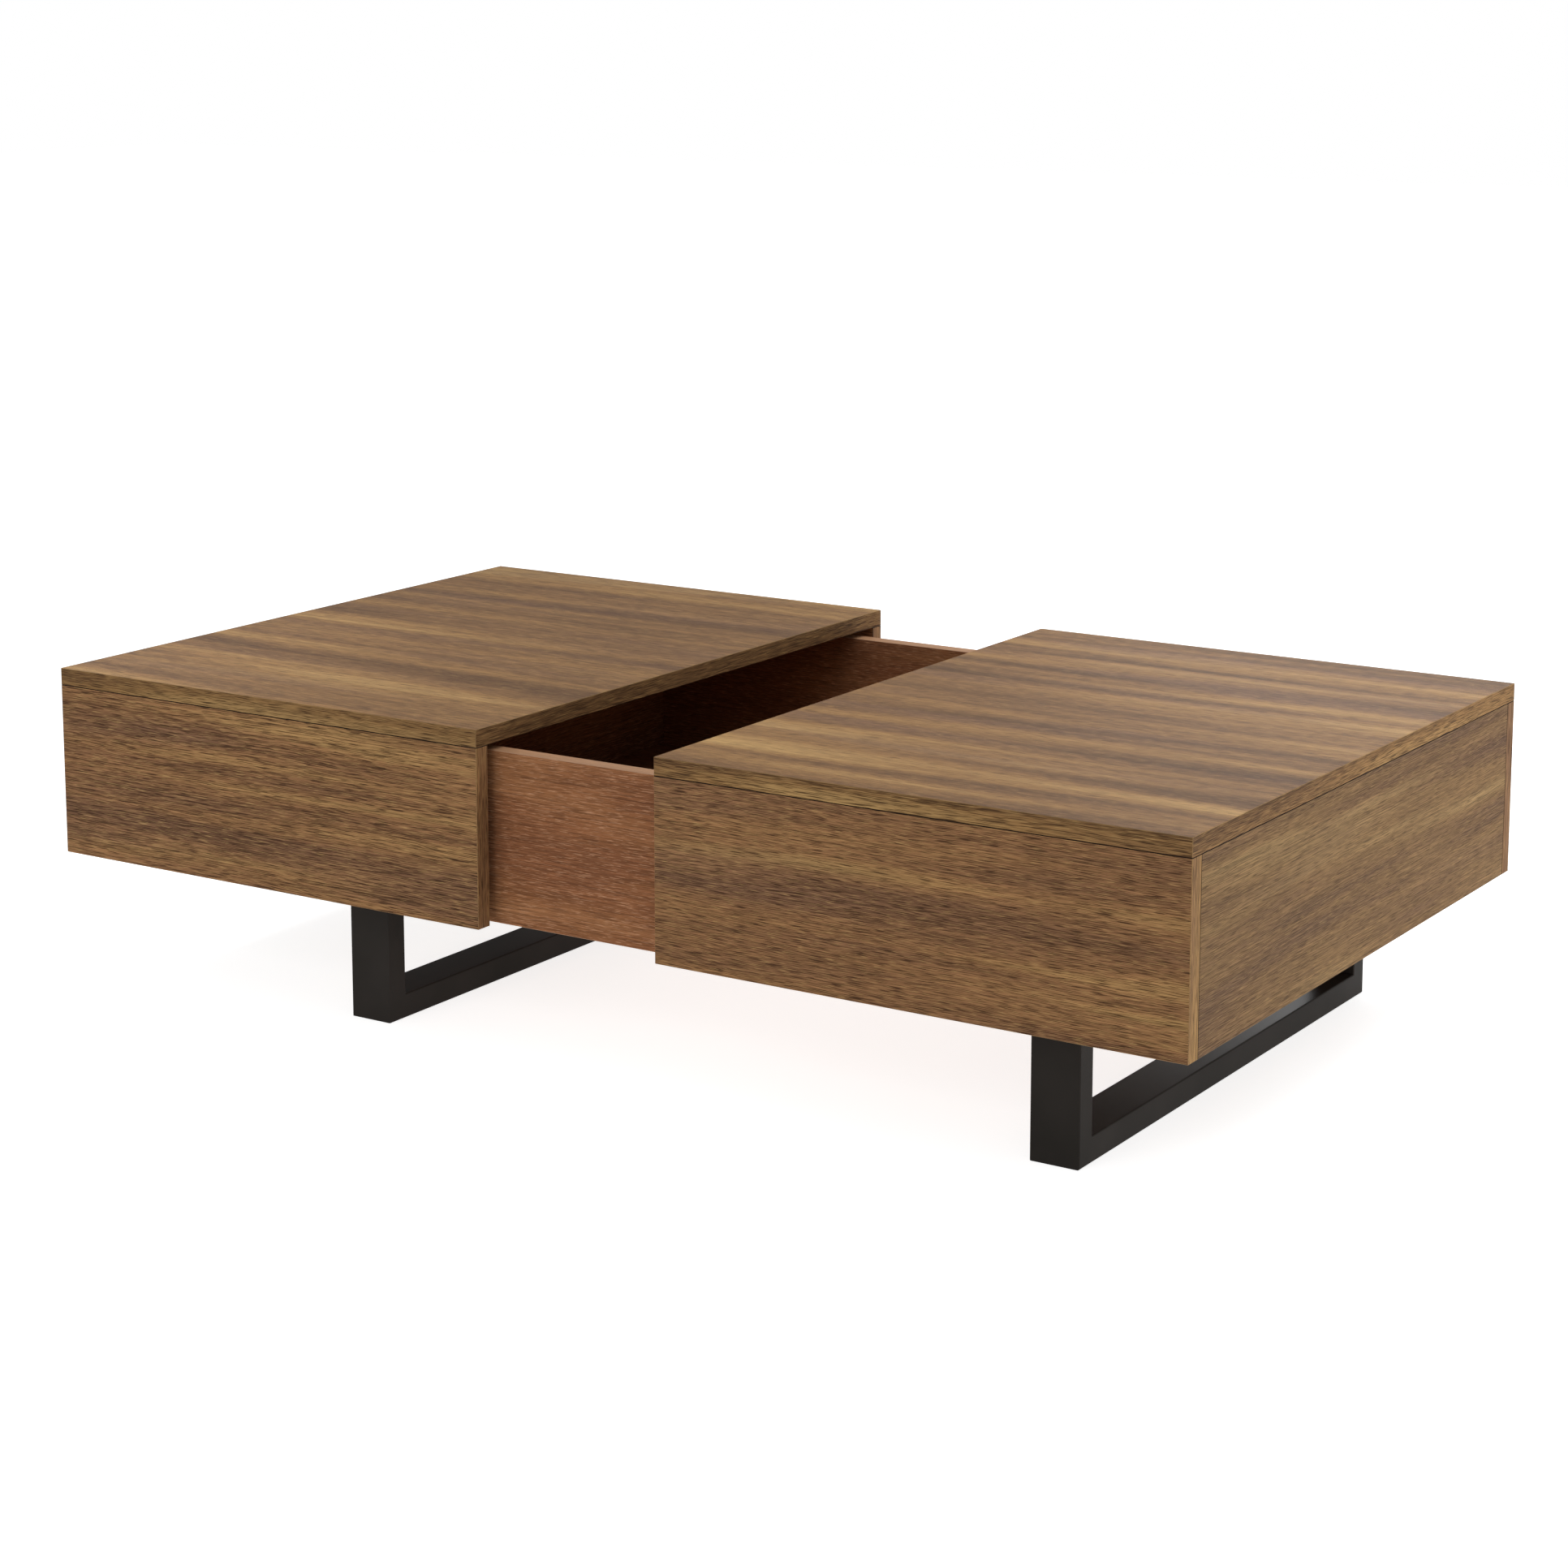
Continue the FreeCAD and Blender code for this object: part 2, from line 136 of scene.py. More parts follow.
def makeStudio():
    scene = bpy.context.scene
    scene.view_settings.view_transform = "Standard"
    for name, box in studio["softBoxes"].items():
        data = bpy.data.lights.new(name, "AREA")
        data.shape = "RECTANGLE"
        data.size, data.size_y = box["size"]
        data.energy = box["watts"]
        data.spread = math.radians(box.get("spread", 180))
        lamp = bpy.data.objects.new(name, data)
        lamp.location = box["place"]
        aim = Vector(box["aim"]) - Vector(box["place"])
        lamp.rotation_euler = aim.to_track_quat("-Z", "Y").to_euler()
        scene.collection.objects.link(lamp)

    world = bpy.data.worlds.new("studio")
    world.use_nodes = True
    scene.world = world
    tree = world.node_tree
    tree.nodes.clear()
    seen = seenDirectly(tree)
    strength = addNode(tree, "ShaderNodeMix", {2: studio["roomLight"], 3: studio["backdropLight"]},
                       {0: seen})
    light = addNode(tree, "ShaderNodeBackground", {"Color": white}, {"Strength": strength.outputs[0]})
    addNode(tree, "ShaderNodeOutputWorld", {}, {"Surface": light.outputs[0]})

    bm = bmesh.new()
    bmesh.ops.create_grid(bm, x_segments=1, y_segments=1, size=studio["floorSize"] / 2)
    floor = finishMesh(bm, "floor")
    material, tree, shader = newMaterial("paleFloor", {
        "Base Color": linearColour(studio["floorColour"]), "Roughness": studio["floorRoughness"],
        "Specular IOR Level": 0.0, "Emission Color": white})
    glow = addNode(tree, "ShaderNodeMix", {2: studio["floorLight"], 3: studio["floorGlow"]},
                   {0: seenDirectly(tree)})
    tree.links.new(glow.outputs[0], shader.inputs["Emission Strength"])
    floor.data.materials.append(material)


def seenDirectly(tree):
    # 1 for what the camera sees, also in a reflection or through glass
    ray = addNode(tree, "ShaderNodeLightPath").outputs
    either = addNode(tree, "ShaderNodeMath", {"operation": "MAXIMUM"},
                     {0: ray["Is Camera Ray"], 1: ray["Is Glossy Ray"]})
    return addNode(tree, "ShaderNodeMath", {"operation": "MAXIMUM"},
                   {0: either.outputs[0], 1: ray["Is Transmission Ray"]}).outputs[0]


sharpAngle = 35      # degrees; a surface that turns by more has an edge there


def finishMesh(bm, name):
    # smooth round its curves
    bmesh.ops.recalc_face_normals(bm, faces=bm.faces)
    mesh = bpy.data.meshes.new(name)
    bm.to_mesh(mesh)
    bm.free()
    mesh.shade_smooth()
    mesh.set_sharp_from_angle(angle=math.radians(sharpAngle))
    piece = bpy.data.objects.new(name, mesh)
    bpy.context.scene.collection.objects.link(piece)
    return piece


def assign(node, material):
    slots = frame["nodes"][node].data.materials
    slots.clear()
    slots.append(material)


# Walnut-look melamine laminate: a printed paper with short dark pores over golden and
# purplish bands, pressed with a satin texture. Sizes of the pattern are in mm; real pores are
# about 0.3 mm wide and are drawn twice as wide, so that they show.
walnut = {
    "bands": [(0.34, "#7d5a40"), (0.46, "#8b6444"), (0.56, "#956d48"), (0.70, "#a98454")],
    "bandLength": 600, "bandWidth": 30, "bandDetail": 2.0,
    "blush": "#6f5243", "blushLength": 700, "blushWidth": 60, "blushShare": 0.35,
    "streakLength": 180, "streakWidth": 3.5, "streakShare": 0.06,
    "fibreLength": 140, "fibreWidth": 0.6, "fibreShare": 0.55,
    "pore": "#3a2517", "poreLength": 22, "poreWidth": 0.6, "poreShare": 0.85, "poresInBands": 0.10,
    "fleck": "#c7a168", "fleckLength": 16, "fleckWidth": 0.6, "fleckShare": 0.5,
    "wanderLength": 240, "wanderWidth": 70, "wander": 4,
    "rippleLength": 40, "rippleWidth": 10, "ripple": 0.15,
    "stagger": 35,           # how far neighbouring rows of pores are out of step
    "edge": "#8f7049", "edgeShare": 0.1, "edgeTone": 0.95, "edgePores": 0.0,
    # the paler colour of eased edges is a painted highlight
    "ease": "#b08f63", "easeShare": 0.35,
    "roughness": 0.6, "specular": 0.05, "relief": 0.05, "tone": 1.0,
}
# The same laminate on the top boards, from a sheet with longer and stronger bands
walnutTop = dict(walnut, bandLength=900, bandWidth=45, bandDetail=3.0, fibreShare=0.3, poreShare=0.7,
                 fleckShare=0.45, edgeTone=0.88, edgePores=0.5,
                 bands=[(0.33, "#67492e"), (0.45, "#83603e"), (0.56, "#997348"), (0.68, "#b6915e")])
# The left top board is that laminate darkened to 0.92: painted shade, as if it got less light than the
# right one
walnutLeftTopShaded = dict(walnutTop, tone=0.92)
# The right top board's part of that sheet has darker bands and more of the blush
walnutRightTop = dict(walnutTop, blushShare=0.5, tone=1.04,
                      bands=[(0.33, "#573c25"), (0.45, "#7f5d3c"), (0.56, "#997348"), (0.68, "#b8935f")])
# The left front skirt is a little darker, with a paler band at its upright ends
walnutLeftSkirt = dict(walnut, tone=0.93, edgeTone=1.05)
# The end panels are from a greyer sheet with fainter pores, and are darkened to 0.74 as painted shade on
# the table's ends
walnutEndShaded = dict(walnut, fleckShare=0.4, poreShare=0.6, fibreShare=0.5, tone=0.74,
                 bands=[(0.34, "#7a5d45"), (0.46, "#886848"), (0.56, "#93724d"), (0.70, "#a38359")])
# Redder oak-look laminate of the fixed box, with fine pale flecks
boxOak = {
    "bands": [(0.34, "#87573a"), (0.46, "#905f3e"), (0.56, "#976643"), (0.70, "#a0704b")],
    "bandLength": 300, "bandWidth": 60, "bandDetail": 2.0,
    "blush": "#774b39", "blushLength": 500, "blushWidth": 80, "blushShare": 0.3,
    "streakLength": 150, "streakWidth": 3.0, "streakShare": 0.06,
    "fibreLength": 110, "fibreWidth": 0.6, "fibreShare": 0.35,
    "pore": "#4f3020", "poreLength": 20, "poreWidth": 0.6, "poreShare": 0.5, "poresInBands": 0.1,
    "fleck": "#cd9a76", "fleckLength": 11, "fleckWidth": 0.6, "fleckShare": 0.6,
    "wanderLength": 300, "wanderWidth": 90, "wander": 2,
    "rippleLength": 40, "rippleWidth": 14, "ripple": 0.1,
    "stagger": 25,
    "edge": "#c09a78", "edgeShare": 0.5, "edgeTone": 1.0, "edgePores": 0.0,
    # the paler colour of eased edges is a painted highlight
    "ease": "#b08a70", "easeShare": 0.7,
    "roughness": 0.6, "specular": 0.05, "relief": 0.05, "tone": 1.0,
}
# What the laminates share. A noise runs from 0 to 1, and marks grow between their two limits.
pattern = {
    "blush": (0.50, 0.66), "fleck": (0.56, 0.68), "pores": (0.52, 0.61), "edgePores": (0.46, 0.58),
    "shade": (0.25, 0.75),              # where streaks and fibres are darkest and lightest
    "rowLength": 30, "rowWidth": 3,     # size, in pores, of the rows that are in step
    "waveAlong": 4, "waveAcross": 2,    # turn the waves' noise, a quarter up or down, to full size
    "dents": 0.5,                       # strength of the pores' relief
    "facing": 0.75,                     # a face looks along an axis if its normal has more of it
    "eased": 0.85,                      # an eased edge looks along no axis by more
    "seamSpread": 0.15,                 # how far from halfway an edge of a joint may look
}


def grainSpace(tree, faces, shift):
    # Millimetres along, across and into the grain. faces says, for the faces that look along
    # z, y and x, which axes those are; shift makes the boards differ.
    place = addNode(tree, "ShaderNodeTexCoord").outputs["Object"]
    scaled = addNode(tree, "ShaderNodeVectorMath", {"operation": "SCALE", "Scale": 1 / millimetre},
                     {0: place})
    axes = addNode(tree, "ShaderNodeSeparateXYZ", {}, {0: scaled.outputs[0]}).outputs
    normal = addNode(tree, "ShaderNodeNewGeometry").outputs["Normal"]
    normals = addNode(tree, "ShaderNodeSeparateXYZ", {}, {0: normal}).outputs
    chosen = None
    for side, order in faces.items():
        turned = addNode(tree, "ShaderNodeCombineXYZ", {},
                         {i: axes["xyz".index(letter)] for i, letter in enumerate(order)}).outputs[0]
        if chosen is None:
            chosen = turned
            continue
        size = addNode(tree, "ShaderNodeMath", {"operation": "ABSOLUTE"}, {0: normals["xyz".index(side)]})
        looks = addNode(tree, "ShaderNodeMath", {"operation": "GREATER_THAN", 1: pattern["facing"]},
                        {0: size.outputs[0]})
        chosen = addNode(tree, "ShaderNodeMix", {"data_type": "VECTOR"},
                         {0: looks.outputs[0], 4: chosen, 5: turned}).outputs[1]
    return addNode(tree, "ShaderNodeVectorMath", {"operation": "ADD", 1: shift}, {0: chosen}).outputs[0]


def grainNoise(tree, grain, length, width, detail=2.0):
    # 0 to 1, with spots of about length by width in mm
    squeezed = addNode(tree, "ShaderNodeVectorMath",
                       {"operation": "MULTIPLY", 1: (1 / length, 1 / width, 1 / width)}, {0: grain})
    return addNode(tree, "ShaderNodeTexNoise", {"Scale": 1.0, "Detail": detail},
                   {"Vector": squeezed.outputs[0]})


def overlay(tree, below, colour, noise, limits, share):
    # lays colour over what is below where the noise is high; share is a number or a socket
    settings = {"interpolation_type": "SMOOTHSTEP", "From Min": limits[0], "From Max": limits[1]}
    links = {"Value": noise}
    (settings if isinstance(share, float) else links)["To Max"] = share
    amount = addNode(tree, "ShaderNodeMapRange", settings, links)
    mixed = addNode(tree, "ShaderNodeMix", {"data_type": "RGBA", 7: linearColour(colour)},
                    {0: amount.outputs[0], 6: below})
    return mixed.outputs[2], amount.outputs[0]


def shade(tree, colour, noise, share):
    # lighter and darker by up to share
    darkest, lightest = pattern["shade"]
    factor = addNode(tree, "ShaderNodeMapRange", {"From Min": darkest, "From Max": lightest,
                     "To Min": 1 - share, "To Max": 1 + share}, {"Value": noise})
    return addNode(tree, "ShaderNodeVectorMath", {"operation": "SCALE"},
                   {0: colour, "Scale": factor.outputs[0]}).outputs[0]


def tinted(tree, colour, tone, share, value, test, limit, width=0):
    # moves the colour by share towards tone where the value passes the test
    passed = addNode(tree, "ShaderNodeMath", {"operation": test, 1: limit, 2: width}, {0: value})
    amount = addNode(tree, "ShaderNodeMath", {"operation": "MULTIPLY", 1: share}, {0: passed.outputs[0]})
    return addNode(tree, "ShaderNodeMix", {"data_type": "RGBA", 7: linearColour(tone)},
                   {0: amount.outputs[0], 6: colour}).outputs[2]


def poreLimits(look, kind):
    # crowding takes half of poresInBands from the noise on average, and the limits follow it
    return [limit - look["poresInBands"] / 2 for limit in pattern[kind]]


def edgeBands(tree, colour, look, broad, seams, pores):
    # The thin faces, which don't look along the board's broad axis, carry a band of another
    # tone, which has more pores where edgePores says so, and an eased edge is painted paler, a
    # painted highlight along it. Where that edge closes a joint it is dark with painted shadow
    # and glue: seams holds the directions of the board's joints, and such an edge looks halfway
    # between one of them and another side.
    normal = addNode(tree, "ShaderNodeNewGeometry").outputs["Normal"]
    size = addNode(tree, "ShaderNodeVectorMath", {"operation": "ABSOLUTE"}, {0: normal})
    sizes = addNode(tree, "ShaderNodeSeparateXYZ", {}, {0: size.outputs[0]}).outputs
    largest = sizes[0]
    for other in (sizes[1], sizes[2]):
        largest = addNode(tree, "ShaderNodeMath", {"operation": "MAXIMUM"},
                          {0: largest, 1: other}).outputs[0]
    squareOn = sizes["xyz".index(broad)]
    colour = tinted(tree, colour, look["edge"], look["edgeShare"], squareOn, "LESS_THAN", pattern["facing"])
    thin = addNode(tree, "ShaderNodeMath", {"operation": "LESS_THAN", 1: pattern["facing"]}, {0: squareOn})
    share = addNode(tree, "ShaderNodeMath", {"operation": "MULTIPLY", 1: look["edgePores"]},
                    {0: thin.outputs[0]})
    colour, _ = overlay(tree, colour, look["pore"], pores, poreLimits(look, "edgePores"), share.outputs[0])
    tone = addNode(tree, "ShaderNodeMapRange", {"To Min": 1, "To Max": look["edgeTone"]},
                   {"Value": thin.outputs[0]})
    colour = addNode(tree, "ShaderNodeVectorMath", {"operation": "SCALE"},
                     {0: colour, "Scale": tone.outputs[0]}).outputs[0]
    # eased edges are painted paler: a painted highlight along each edge
    colour = tinted(tree, colour, look["ease"], look["easeShare"], largest, "LESS_THAN", pattern["eased"])
    halfway = math.sqrt(0.5)
    for direction in seams:
        lean = addNode(tree, "ShaderNodeVectorMath", {"operation": "DOT_PRODUCT", 1: direction},
                       {0: normal}).outputs["Value"]
        colour = tinted(tree, colour, seamColour, 1, lean, "COMPARE", halfway, pattern["seamSpread"])
    return colour


def laminate(name, look, faces, broad, seams, shift):
    material, tree, shader = newMaterial(name, {
        "Roughness": look["roughness"], "Specular IOR Level": look["specular"]})
    grain = grainSpace(tree, faces, shift)
    bent = grain
    for wave in ("wander", "ripple"):
        drift = grainNoise(tree, grain, look[wave + "Length"], look[wave + "Width"]).outputs["Color"]
        centred = addNode(tree, "ShaderNodeVectorMath", {"operation": "SUBTRACT", 1: (0.5, 0.5, 0.5)},
                          {0: drift})
        reach = (pattern["waveAlong"] * look[wave], pattern["waveAcross"] * look[wave], 0)
        bent = addNode(tree, "ShaderNodeVectorMath", {"operation": "MULTIPLY_ADD", 1: reach},
                       {0: centred.outputs[0], 2: bent}).outputs[0]
    bands = grainNoise(tree, bent, look["bandLength"], look["bandWidth"], look["bandDetail"]).outputs[0]
    stops = [(place, linearColour(colour)) for place, colour in look["bands"]]
    colour = addNode(tree, "ShaderNodeValToRGB", {"stops": stops}, {"Fac": bands}).outputs[0]
    blush = grainNoise(tree, bent, look["blushLength"], look["blushWidth"]).outputs[0]
    colour, _ = overlay(tree, colour, look["blush"], blush, pattern["blush"], look["blushShare"])
    for kind, detail in (("streak", 2.0), ("fibre", 1.0)):
        noise = grainNoise(tree, bent, look[kind + "Length"], look[kind + "Width"], detail).outputs[0]
        colour = shade(tree, colour, noise, look[kind + "Share"])
    step = grainNoise(tree, bent, pattern["rowLength"] * look["poreLength"],
                      pattern["rowWidth"] * look["poreWidth"]).outputs[0]
    rows = addNode(tree, "ShaderNodeVectorMath", {"operation": "MULTIPLY_ADD", 1: (look["stagger"], 0, 0)},
                   {0: step, 2: bent}).outputs[0]
    flecks = grainNoise(tree, rows, look["fleckLength"], look["fleckWidth"], 1.0).outputs[0]
    colour, _ = overlay(tree, colour, look["fleck"], flecks, pattern["fleck"], look["fleckShare"])
    pores = grainNoise(tree, rows, look["poreLength"], look["poreWidth"], 1.0).outputs[0]
    crowded = addNode(tree, "ShaderNodeMath", {"operation": "MULTIPLY_ADD", 1: -look["poresInBands"]},
                      {0: bands, 2: pores}).outputs[0]    # more pores where the bands are dark
    limits = poreLimits(look, "pores")
    colour, holes = overlay(tree, colour, look["pore"], crowded, limits, look["poreShare"])
    toned = addNode(tree, "ShaderNodeVectorMath", {"operation": "SCALE", "Scale": look["tone"]},
                    {0: edgeBands(tree, colour, look, broad, seams, crowded)})
    tree.links.new(toned.outputs[0], shader.inputs["Base Color"])
    dents = addNode(tree, "ShaderNodeBump", {"invert": True, "Strength": pattern["dents"],
                    "Distance": look["relief"] * millimetre}, {"Height": holes})
    tree.links.new(dents.outputs[0], shader.inputs["Normal"])
    return material


# For faces that look along z, y and x: the axes along, across and into the grain
lengthwise = {"z": "xyz", "y": "xzy", "x": "yzx"}        # edge bands run along their edge
uprightEnds = {"z": "xyz", "y": "xzy", "x": "zyx"}       # a skirt's end bands run upwards
crosswise = {"z": "yxz", "y": "zxy", "x": "yzx"}         # end panels
seamColour = "#1e1610"
boardShift = (1370, 411, 97)     # mm of pattern between one board and the next
up, down, rearward, forward = (0, 0, 1), (0, 0, -1), (0, 1, 0), (0, -1, 0)


def finishBoards():
    boards = {
        "left_top_board": (walnutLeftTopShaded, lengthwise, "z", [down]),
        "right_top_board": (walnutRightTop, lengthwise, "z", [down]),
        "left_front_skirt": (walnutLeftSkirt, uprightEnds, "y", [up, rearward]),
        "right_front_skirt": (walnut, uprightEnds, "y", [up, rearward]),
        "left_rear_skirt": (walnut, uprightEnds, "y", [up, forward]),
        "right_rear_skirt": (walnut, uprightEnds, "y", [up, forward]),
        "left_end_panel": (walnutEndShaded, crosswise, "x", [up, rearward, forward]),
        "right_end_panel": (walnutEndShaded, crosswise, "x", [up, rearward, forward]),
        "box_front_wall": (boxOak, uprightEnds, "y", []),
        "box_rear_wall": (boxOak, uprightEnds, "y", []),
        "box_left_end": (boxOak, crosswise, "x", []),
        "box_right_end": (boxOak, crosswise, "x", []),
        "box_bottom": (boxOak, lengthwise, "z", []),
    }
    for number, (node, (look, faces, broad, seams)) in enumerate(boards.items()):
        shift = [number * step for step in boardShift]
        assign(node, laminate(node + "_laminate", look, faces, broad, seams, shift))


def cloudStops(look):
    # noise keeps near its middle, and so do the places of the two colours
    return [(0.35, linearColour(look["dark"])), (0.65, linearColour(look["light"]))]


def clouds(tree, look, place):
    # soft shading between the look's two colours, with clouds of its size in mm
    noise = addNode(tree, "ShaderNodeTexNoise", {"Scale": 1 / (look["cloud"] * millimetre), "Detail": 3.0},
                    {"Vector": place})
    return addNode(tree, "ShaderNodeValToRGB", {"stops": cloudStops(look)},
                   {"Fac": noise.outputs[0]}).outputs[0]


# Polyester powder coat, baked on: brown-black and satin, with a faint cloud of shade and a
# fine orange peel that only shows close by
powder = {"dark": "#2d2a27", "light": "#34302d", "cloud": 110, "peel": 1.6, "peelHeight": 0.02,
          "peelStrength": 0.25, "roughness": 0.36, "specular": 0.018}


def powderCoat():
    material, tree, shader = newMaterial("powderCoat", {
        "Roughness": powder["roughness"], "Specular IOR Level": powder["specular"]})
    place = addNode(tree, "ShaderNodeTexCoord").outputs["Object"]
    tree.links.new(clouds(tree, powder, place), shader.inputs["Base Color"])
    peel = addNode(tree, "ShaderNodeTexNoise", {"Scale": 1 / (powder["peel"] * millimetre), "Detail": 1.0},
                   {"Vector": place})
    bump = addNode(tree, "ShaderNodeBump", {"Strength": powder["peelStrength"],
                   "Distance": powder["peelHeight"] * millimetre}, {"Height": peel.outputs[0]})
    tree.links.new(bump.outputs[0], shader.inputs["Normal"])
    return material


# Metals of the hidden fittings. Each is shaded between two colours by clouds, and has lines of
# the given length and width in mm from rolling or drawing; round lines make an even grain. The
# lines' noise takes the roughness from its first value to its second between the limits.
metalLines = {"limits": (0.3, 0.7), "strength": 0.4}
metals = {
    # cold-rolled steel, bright zinc plated: bluish silver with faint lines along the slide
    "zincPlatedSheet": {"dark": "#b9bec4", "light": "#c6cace", "cloud": 45, "line": (40, 0.5, 0.5),
                        "roughness": (0.24, 0.40), "relief": 0.01},
    # spring strip of the ball retainers: greyer and duller, from the press
    "retainerStrip": {"dark": "#8d9092", "light": "#a7aaac", "cloud": 9, "line": (22, 0.5, 0.5),
                      "roughness": (0.34, 0.48), "relief": 0.01},
    # through-hardened bearing steel, lapped: almost a mirror
    "lappedBallSteel": {"dark": "#c9cccf", "light": "#dcdee0", "cloud": 1.5, "line": (0.6, 0.6, 0.6),
                        "roughness": (0.07, 0.13), "relief": 0.0},
    # zinc pressure casting as cast: matt grey with a grainy skin
    "zincCasting": {"dark": "#8b8e91", "light": "#a3a6a8", "cloud": 5, "line": (0.5, 0.5, 0.5),
                    "roughness": (0.45, 0.62), "relief": 0.04},
    # screw steel, zinc plated over a rolled thread: silver with darker clouds
    "zincPlatedScrew": {"dark": "#9aa0a8", "light": "#c2c6cb", "cloud": 3, "line": (0.7, 0.7, 0.7),
                        "roughness": (0.28, 0.46), "relief": 0.01},
}


def metal(name):
    look = metals[name]
    material, tree, shader = newMaterial(name, {"Metallic": 1.0})
    place = addNode(tree, "ShaderNodeTexCoord").outputs["Object"]
    tree.links.new(clouds(tree, look, place), shader.inputs["Base Color"])
    squeezed = addNode(tree, "ShaderNodeVectorMath", {"operation": "MULTIPLY",
                       1: [1 / (size * millimetre) for size in look["line"]]}, {0: place})
    lines = addNode(tree, "ShaderNodeTexNoise", {"Scale": 1.0, "Detail": 2.0},
                    {"Vector": squeezed.outputs[0]}).outputs[0]
    low, high = metalLines["limits"]
    smooth, dull = look["roughness"]
    dullness = addNode(tree, "ShaderNodeMapRange", {"From Min": low, "From Max": high,
                       "To Min": smooth, "To Max": dull}, {"Value": lines})
    tree.links.new(dullness.outputs[0], shader.inputs["Roughness"])
    if look["relief"]:
        bump = addNode(tree, "ShaderNodeBump", {"Strength": metalLines["strength"],
                       "Distance": look["relief"] * millimetre}, {"Height": lines})
        tree.links.new(bump.outputs[0], shader.inputs["Normal"])
    return material


# Steamed beech, turned and pressed: pale pinkish brown with short dark rays along the dowel;
# its pattern follows the grain attribute of the dowels, in mm
beech = {"dark": "#c19566", "light": "#dcb88a", "toneLength": 30, "toneWidth": 3.0, "toneDetail": 3.0,
         "ray": "#8e6440", "rayLength": 3.5, "rayWidth": 0.35, "rayLimits": (0.58, 0.68), "rayShare": 0.7,
         "roughness": 0.62, "specular": 0.3}


def beechWood():
    material, tree, shader = newMaterial("steamedBeech", {
        "Roughness": beech["roughness"], "Specular IOR Level": beech["specular"]})
    grain = addNode(tree, "ShaderNodeAttribute", {"attribute_name": "grain"}).outputs["Vector"]
    tone = grainNoise(tree, grain, beech["toneLength"], beech["toneWidth"], beech["toneDetail"]).outputs[0]
    colour = addNode(tree, "ShaderNodeValToRGB", {"stops": cloudStops(beech)}, {"Fac": tone}).outputs[0]
    rays = grainNoise(tree, grain, beech["rayLength"], beech["rayWidth"], 1.0).outputs[0]
    colour, _ = overlay(tree, colour, beech["ray"], rays, beech["rayLimits"], beech["rayShare"])
    tree.links.new(colour, shader.inputs["Base Color"])
    return material


def sizeAndMiddle(points):
    low = Vector([min(point[i] for point in points) for i in range(3)])
    high = Vector([max(point[i] for point in points) for i in range(3)])
    return high - low, (high + low) / 2


def solidsOf(node):
    # the corners of each separate solid of a CAD node
    bm = bmesh.new()
    bm.from_mesh(frame["nodes"][node].data)
    bmesh.ops.remove_doubles(bm, verts=bm.verts, dist=joinDistance)
    solids = []
    for seed in bm.verts:
        if seed.tag:
            continue
        seed.tag = True
        found = [seed]
        for vert in found:
            for edge in vert.link_edges:
                other = edge.other_vert(vert)
                if not other.tag:
                    other.tag = True
                    found.append(other)
        solids.append([vert.co.copy() for vert in found])
    bm.free()
    return solids


def keepShape(bm):
    # a small shape, made once and placed several times
    bmesh.ops.recalc_face_normals(bm, faces=bm.faces)
    mesh = bpy.data.meshes.new("shape")
    bm.to_mesh(mesh)
    bm.free()
    return mesh


def placeShape(bm, shape, matrix):
    before = len(bm.verts)
    bm.from_mesh(shape)
    bm.verts.ensure_lookup_table()
    bmesh.ops.transform(bm, matrix=matrix, verts=bm.verts[before:])


def standing(place, along, front):
    # turns a shape made along Z, with its front towards Y, and stands it at place
    turn = Matrix((front.cross(along), front, along)).transposed()
    return Matrix.Translation(place) @ turn.to_4x4()


def unit(axis, sign=1):
    return Vector([sign if i == axis else 0 for i in range(3)])


def standFor(node, bm, material):
    # the detailed piece takes the place of a plain CAD node
    words = node.split("_")
    piece = finishMesh(bm, words[0] + "".join(word.capitalize() for word in words[1:]))
    piece.data.materials.append(material)
    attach(piece, bodyOf[node])
    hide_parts(node)
    return piece


def spinProfile(bm, profile, sides=32, angle=math.tau, closed=False):
    # turns (radius, height) points in mm about Z; a radius of 0 closes an end, and a closed
    # outline turned by less than a full circle gets its two ends
    verts = [bm.verts.new((radius * millimetre, 0, height * millimetre)) for radius, height in profile]
    edges = [bm.edges.new(pair) for pair in zip(verts, verts[1:])]
    if closed:
        edges.append(bm.edges.new((verts[-1], verts[0])))
    full = angle == math.tau
    bmesh.ops.spin(bm, geom=verts + edges, cent=(0, 0, 0), axis=(0, 0, 1), angle=angle, steps=sides,
                   use_merge=full)
    bmesh.ops.remove_doubles(bm, verts=bm.verts, dist=joinDistance)
    if not full:
        bmesh.ops.holes_fill(bm, edges=[edge for edge in bm.edges if edge.is_boundary])


def roundedCorner(radius, height, rounding, steps=4):
    # profile points of a quarter round from the top at height to the side at radius
    angles = [math.pi / 2 * i / steps for i in range(steps + 1)]
    return [(radius - rounding * (1 - math.sin(angle)), height + rounding * (1 - math.cos(angle)))
            for angle in angles]


def sinkRecess(bm, outline, depth, taper):
    # closes the open top at height 0 round an outline, in mm, and sinks that outline
    rim = [edge for edge in bm.edges if edge.is_boundary]
    verts = [bm.verts.new((x * millimetre, y * millimetre, 0)) for x, y in outline]
    mouth = [bm.edges.new((verts[i - 1], verts[i])) for i in range(len(verts))]
    bmesh.ops.triangle_fill(bm, use_beauty=True, edges=rim + mouth, normal=(0, 0, 1))
    walls = bmesh.ops.extrude_edge_only(bm, edges=mouth)["geom"]
    floor = [item for item in walls if isinstance(item, bmesh.types.BMVert)]
    bmesh.ops.scale(bm, vec=(taper, taper, 1), verts=floor)
    bmesh.ops.translate(bm, vec=(0, 0, depth * millimetre), verts=floor)
    bmesh.ops.contextual_create(bm, geom=[item for item in walls
                                          if isinstance(item, bmesh.types.BMEdge) and item.is_boundary])


